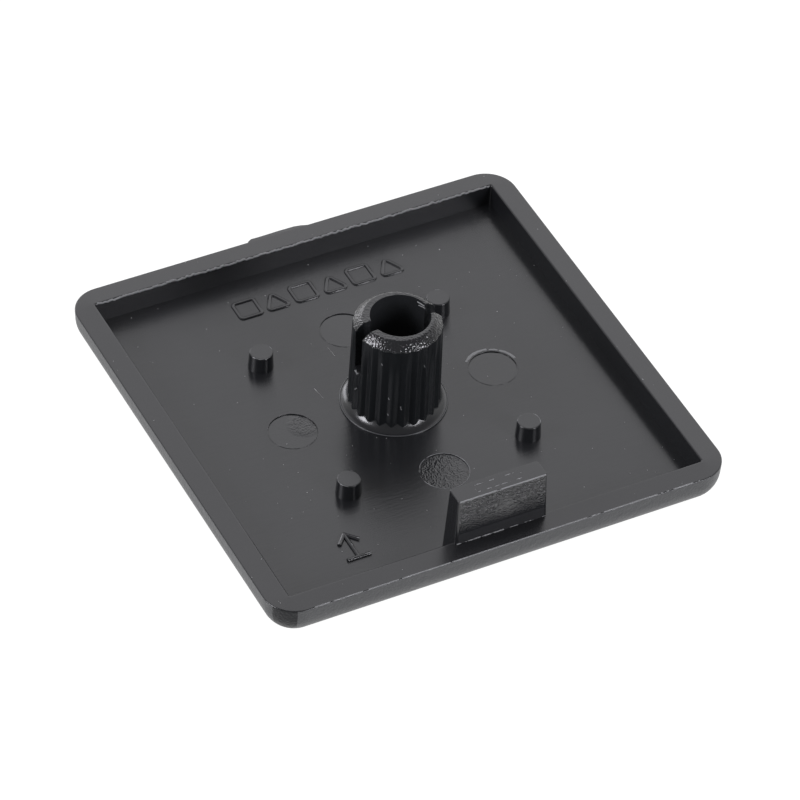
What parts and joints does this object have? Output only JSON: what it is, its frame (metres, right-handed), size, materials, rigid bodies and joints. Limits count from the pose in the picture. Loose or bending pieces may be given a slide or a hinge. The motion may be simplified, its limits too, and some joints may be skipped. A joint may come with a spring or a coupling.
{
  "type": "profile end cap",
  "caption": "Square moulded end cap for slotted aluminium framing profile, with a raised rim, a split ribbed plug for the core hole, a key for the slot and stub pins.",
  "frame": {"origin": "middle of the flat show face, which lies on the XY plane", "axes": "+Z along the plug, from the show face into the profile; the key that drops into the profile's slot stands on the -Y side, and the gate mark is on the +Y side"},
  "size_m": [0.04, 0.0403, 0.0106],
  "materials": {
    "body": "black moulded polyamide, low sheen"
  },
  "bodies": {
    "root": {"end_cap": "body"}
  },
  "joints": []
}
